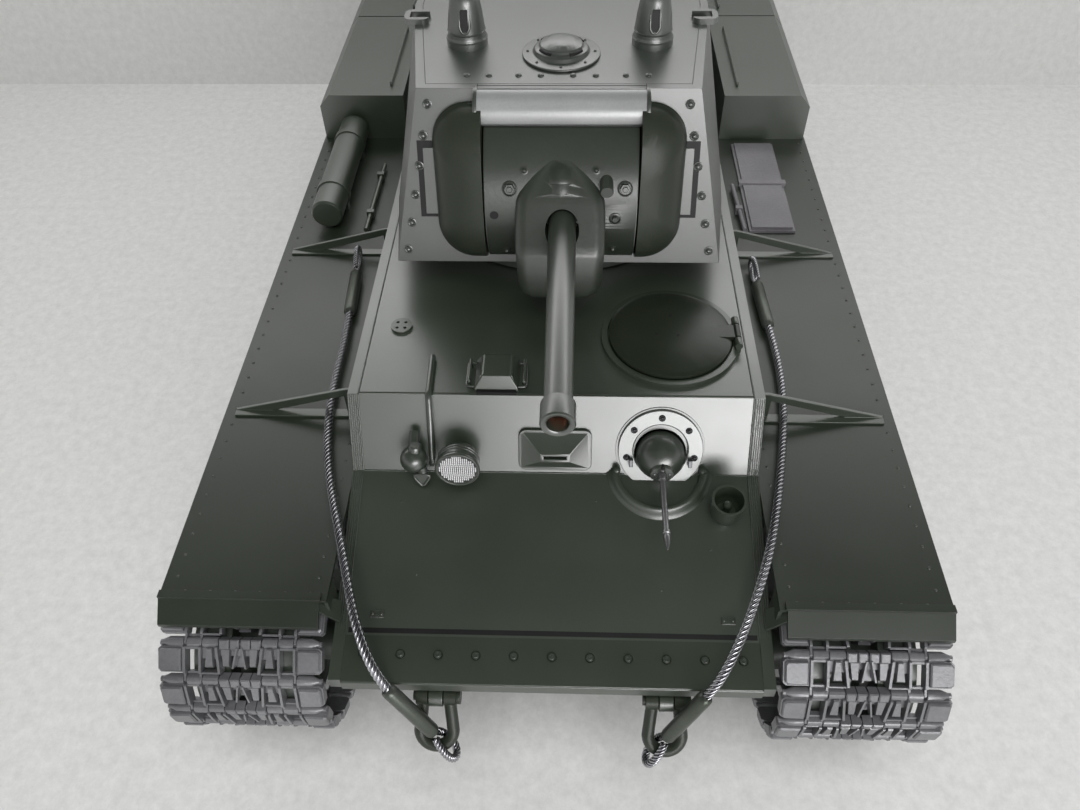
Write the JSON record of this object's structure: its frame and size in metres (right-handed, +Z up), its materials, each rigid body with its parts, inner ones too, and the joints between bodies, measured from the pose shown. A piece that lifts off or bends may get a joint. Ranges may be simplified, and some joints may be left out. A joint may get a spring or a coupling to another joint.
{
  "type": "radio controlled model tank",
  "caption": "Radio-controlled scale model of a heavy tank with traversing turret, elevating and recoiling gun, opening hatches and coupled running gear.",
  "frame": {"origin": "middle of the ground rectangle under the tank", "axes": "+Z up, -Y towards the bow and gun, +X towards the vehicle's left side"},
  "size_m": [0.209, 0.4344, 0.1801],
  "materials": {
    "hull_paint": "satin dark green paint on moulded plastic",
    "turret_paint": "satin dark green paint on moulded plastic",
    "running_gear_paint": "satin dark green paint",
    "mantlet_paint": "dark green paint over rough casting",
    "track_metal": "bare grey cast metal, worn bright on the ribs",
    "shackle_steel": "dark green paint, worn edges",
    "flange_metal": "green paint rubbed bright",
    "mg_metal": "dark satin metal",
    "lens_glass": "clear ribbed lens over a silver reflector",
    "rope_steel": "twisted bright steel wire",
    "rope_fitting": "green painted sleeve and bright wire eye",
    "battery_wrap": "shrink wrap",
    "gearbox_case": "black moulded plastic",
    "stowed_panel": "satin grey paint",
    "barrel_metal": "dark green satin paint on turned metal",
    "lamp_orange": "translucent orange lamp"
  },
  "bodies": {
    "hull": {"upper_hull": "hull_paint", "lower_hull": "hull_paint", "front_beam": "hull_paint", "tow_lugs": "hull_paint", "fender_left": "hull_paint", "fender_right": "hull_paint", "fender_braces": "hull_paint", "stowage_boxes": "hull_paint", "tool_drum": "hull_paint", "driver_visor": "hull_paint", "headlight": "hull_paint", "horn": "hull_paint", "lamp_cup": "hull_paint", "roof_fittings": "hull_paint", "engine_deck": "hull_paint", "stowed_panels": "stowed_panel", "suspension_arms": "running_gear_paint", "track_left": "track_metal", "track_right": "track_metal", "front_shackles": "shackle_steel", "mg_flange": "flange_metal", "headlight_lens": "lens_glass", "tow_rope_left": "rope_steel", "tow_rope_right": "rope_steel", "cable_ends_left": "rope_fitting", "cable_ends_right": "rope_fitting", "battery_pack": "battery_wrap", "drive_gearboxes": "gearbox_case"},
    "turret": {"turret_shell": "turret_paint", "turret_roof": "turret_paint", "turret_fittings": "turret_paint", "turret_ring": "turret_paint"},
    "gun_mount": {"mantlet": "mantlet_paint"},
    "gun_recoil": {"gun_barrel": "barrel_metal", "muzzle_lamp": "lamp_orange"},
    "turret_hatch": {"turret_hatch": "turret_paint"},
    "hull_mg": {"hull_mg": "mg_metal"},
    "hull_hatch": {"hull_hatch": "hull_paint"},
    "road_wheel_left_1": {"road_wheel_left_1": "running_gear_paint"},
    "road_wheel_left_2": {"road_wheel_left_2": "running_gear_paint"},
    "road_wheel_left_3": {"road_wheel_left_3": "running_gear_paint"},
    "road_wheel_left_4": {"road_wheel_left_4": "running_gear_paint"},
    "road_wheel_left_5": {"road_wheel_left_5": "running_gear_paint"},
    "road_wheel_left_6": {"road_wheel_left_6": "running_gear_paint"},
    "road_wheel_right_1": {"road_wheel_right_1": "running_gear_paint"},
    "road_wheel_right_2": {"road_wheel_right_2": "running_gear_paint"},
    "road_wheel_right_3": {"road_wheel_right_3": "running_gear_paint"},
    "road_wheel_right_4": {"road_wheel_right_4": "running_gear_paint"},
    "road_wheel_right_5": {"road_wheel_right_5": "running_gear_paint"},
    "road_wheel_right_6": {"road_wheel_right_6": "running_gear_paint"},
    "return_roller_left_1": {"return_roller_left_1": "running_gear_paint"},
    "return_roller_left_2": {"return_roller_left_2": "running_gear_paint"},
    "return_roller_left_3": {"return_roller_left_3": "running_gear_paint"},
    "return_roller_right_1": {"return_roller_right_1": "running_gear_paint"},
    "return_roller_right_2": {"return_roller_right_2": "running_gear_paint"},
    "return_roller_right_3": {"return_roller_right_3": "running_gear_paint"},
    "idler_left": {"idler_left": "running_gear_paint"},
    "idler_right": {"idler_right": "running_gear_paint"},
    "sprocket_left": {"sprocket_left": "running_gear_paint"},
    "sprocket_right": {"sprocket_right": "running_gear_paint"}
  },
  "joints": [
    {"name": "drive_left", "type": "hinge", "parent": "hull", "child": "sprocket_left", "pos_m": [0.0825, 0.1878, 0.042], "axis": [1, 0, 0], "continuous": true},
    {"name": "idler_spin_left", "type": "hinge", "parent": "hull", "child": "idler_left", "pos_m": [0.0825, -0.1865, 0.048], "axis": [1, 0, 0], "continuous": true},
    {"name": "road_wheel_spin_left_1", "type": "hinge", "parent": "hull", "child": "road_wheel_left_1", "pos_m": [0.0825, -0.135, 0.02302], "axis": [1, 0, 0], "continuous": true},
    {"name": "road_wheel_spin_left_2", "type": "hinge", "parent": "hull", "child": "road_wheel_left_2", "pos_m": [0.0825, -0.0804, 0.02302], "axis": [1, 0, 0], "continuous": true},
    {"name": "road_wheel_spin_left_3", "type": "hinge", "parent": "hull", "child": "road_wheel_left_3", "pos_m": [0.0825, -0.0258, 0.02302], "axis": [1, 0, 0], "continuous": true},
    {"name": "road_wheel_spin_left_4", "type": "hinge", "parent": "hull", "child": "road_wheel_left_4", "pos_m": [0.0825, 0.0288, 0.02302], "axis": [1, 0, 0], "continuous": true},
    {"name": "road_wheel_spin_left_5", "type": "hinge", "parent": "hull", "child": "road_wheel_left_5", "pos_m": [0.0825, 0.0834, 0.02302], "axis": [1, 0, 0], "continuous": true},
    {"name": "road_wheel_spin_left_6", "type": "hinge", "parent": "hull", "child": "road_wheel_left_6", "pos_m": [0.0825, 0.138, 0.02302], "axis": [1, 0, 0], "continuous": true},
    {"name": "roller_spin_left_1", "type": "hinge", "parent": "hull", "child": "return_roller_left_1", "pos_m": [0.0825, -0.092, 0.05783], "axis": [1, 0, 0], "continuous": true},
    {"name": "roller_spin_left_2", "type": "hinge", "parent": "hull", "child": "return_roller_left_2", "pos_m": [0.0825, 0.002, 0.05711], "axis": [1, 0, 0], "continuous": true},
    {"name": "roller_spin_left_3", "type": "hinge", "parent": "hull", "child": "return_roller_left_3", "pos_m": [0.0825, 0.096, 0.05639], "axis": [1, 0, 0], "continuous": true},
    {"name": "drive_right", "type": "hinge", "parent": "hull", "child": "sprocket_right", "pos_m": [-0.0825, 0.1878, 0.042], "axis": [1, 0, 0], "continuous": true},
    {"name": "idler_spin_right", "type": "hinge", "parent": "hull", "child": "idler_right", "pos_m": [-0.0825, -0.1865, 0.048], "axis": [1, 0, 0], "continuous": true},
    {"name": "road_wheel_spin_right_1", "type": "hinge", "parent": "hull", "child": "road_wheel_right_1", "pos_m": [-0.0825, -0.135, 0.02302], "axis": [1, 0, 0], "continuous": true},
    {"name": "road_wheel_spin_right_2", "type": "hinge", "parent": "hull", "child": "road_wheel_right_2", "pos_m": [-0.0825, -0.0804, 0.02302], "axis": [1, 0, 0], "continuous": true},
    {"name": "road_wheel_spin_right_3", "type": "hinge", "parent": "hull", "child": "road_wheel_right_3", "pos_m": [-0.0825, -0.0258, 0.02302], "axis": [1, 0, 0], "continuous": true},
    {"name": "road_wheel_spin_right_4", "type": "hinge", "parent": "hull", "child": "road_wheel_right_4", "pos_m": [-0.0825, 0.0288, 0.02302], "axis": [1, 0, 0], "continuous": true},
    {"name": "road_wheel_spin_right_5", "type": "hinge", "parent": "hull", "child": "road_wheel_right_5", "pos_m": [-0.0825, 0.0834, 0.02302], "axis": [1, 0, 0], "continuous": true},
    {"name": "road_wheel_spin_right_6", "type": "hinge", "parent": "hull", "child": "road_wheel_right_6", "pos_m": [-0.0825, 0.138, 0.02302], "axis": [1, 0, 0], "continuous": true},
    {"name": "roller_spin_right_1", "type": "hinge", "parent": "hull", "child": "return_roller_right_1", "pos_m": [-0.0825, -0.092, 0.05783], "axis": [1, 0, 0], "continuous": true},
    {"name": "roller_spin_right_2", "type": "hinge", "parent": "hull", "child": "return_roller_right_2", "pos_m": [-0.0825, 0.002, 0.05711], "axis": [1, 0, 0], "continuous": true},
    {"name": "roller_spin_right_3", "type": "hinge", "parent": "hull", "child": "return_roller_right_3", "pos_m": [-0.0825, 0.096, 0.05639], "axis": [1, 0, 0], "continuous": true},
    {"name": "turret_traverse", "type": "hinge", "parent": "hull", "child": "turret", "pos_m": [0, -0.034, 0.112], "axis": [0, 0, 1], "continuous": true},
    {"name": "gun_elevation", "type": "hinge", "parent": "turret", "child": "gun_mount", "pos_m": [0, -0.0744, 0.1327], "axis": [-1, 0, 0], "range_deg": [-4, 24]},
    {"name": "gun_recoil", "type": "slide", "parent": "gun_mount", "child": "gun_recoil", "axis": [0, 1, 0], "range_m": [0, 0.008], "stiffness_N_per_m": 150, "springref_m": -0.001},
    {"name": "turret_hatch_hinge", "type": "hinge", "parent": "turret", "child": "turret_hatch", "pos_m": [0.013, 0.0146, 0.16505], "axis": [-1, 0, 0], "range_deg": [0, 100]},
    {"name": "hull_hatch_hinge", "type": "hinge", "parent": "hull", "child": "hull_hatch", "pos_m": [0.0534, -0.1141, 0.1033], "axis": [0, 1, 0], "range_deg": [0, 100]},
    {"name": "hull_mg_swing", "type": "hinge", "parent": "hull", "child": "hull_mg", "pos_m": [0.0303, -0.147, 0.086], "axis": [0, 0, 1], "range_deg": [-15, 15]}
  ],
  "couplings": [
    {"joint": "idler_spin_left", "follows": "drive_left", "ratio": 1.2502},
    {"joint": "road_wheel_spin_left_1", "follows": "drive_left", "ratio": 1.3891},
    {"joint": "road_wheel_spin_left_2", "follows": "drive_left", "ratio": 1.3891},
    {"joint": "road_wheel_spin_left_3", "follows": "drive_left", "ratio": 1.3891},
    {"joint": "road_wheel_spin_left_4", "follows": "drive_left", "ratio": 1.3891},
    {"joint": "road_wheel_spin_left_5", "follows": "drive_left", "ratio": 1.3891},
    {"joint": "road_wheel_spin_left_6", "follows": "drive_left", "ratio": 1.3891},
    {"joint": "roller_spin_left_1", "follows": "drive_left", "ratio": 2.4409},
    {"joint": "roller_spin_left_2", "follows": "drive_left", "ratio": 2.4409},
    {"joint": "roller_spin_left_3", "follows": "drive_left", "ratio": 2.4409},
    {"joint": "idler_spin_right", "follows": "drive_right", "ratio": 1.2502},
    {"joint": "road_wheel_spin_right_1", "follows": "drive_right", "ratio": 1.3891},
    {"joint": "road_wheel_spin_right_2", "follows": "drive_right", "ratio": 1.3891},
    {"joint": "road_wheel_spin_right_3", "follows": "drive_right", "ratio": 1.3891},
    {"joint": "road_wheel_spin_right_4", "follows": "drive_right", "ratio": 1.3891},
    {"joint": "road_wheel_spin_right_5", "follows": "drive_right", "ratio": 1.3891},
    {"joint": "road_wheel_spin_right_6", "follows": "drive_right", "ratio": 1.3891},
    {"joint": "roller_spin_right_1", "follows": "drive_right", "ratio": 2.4409},
    {"joint": "roller_spin_right_2", "follows": "drive_right", "ratio": 2.4409},
    {"joint": "roller_spin_right_3", "follows": "drive_right", "ratio": 2.4409}
  ]
}
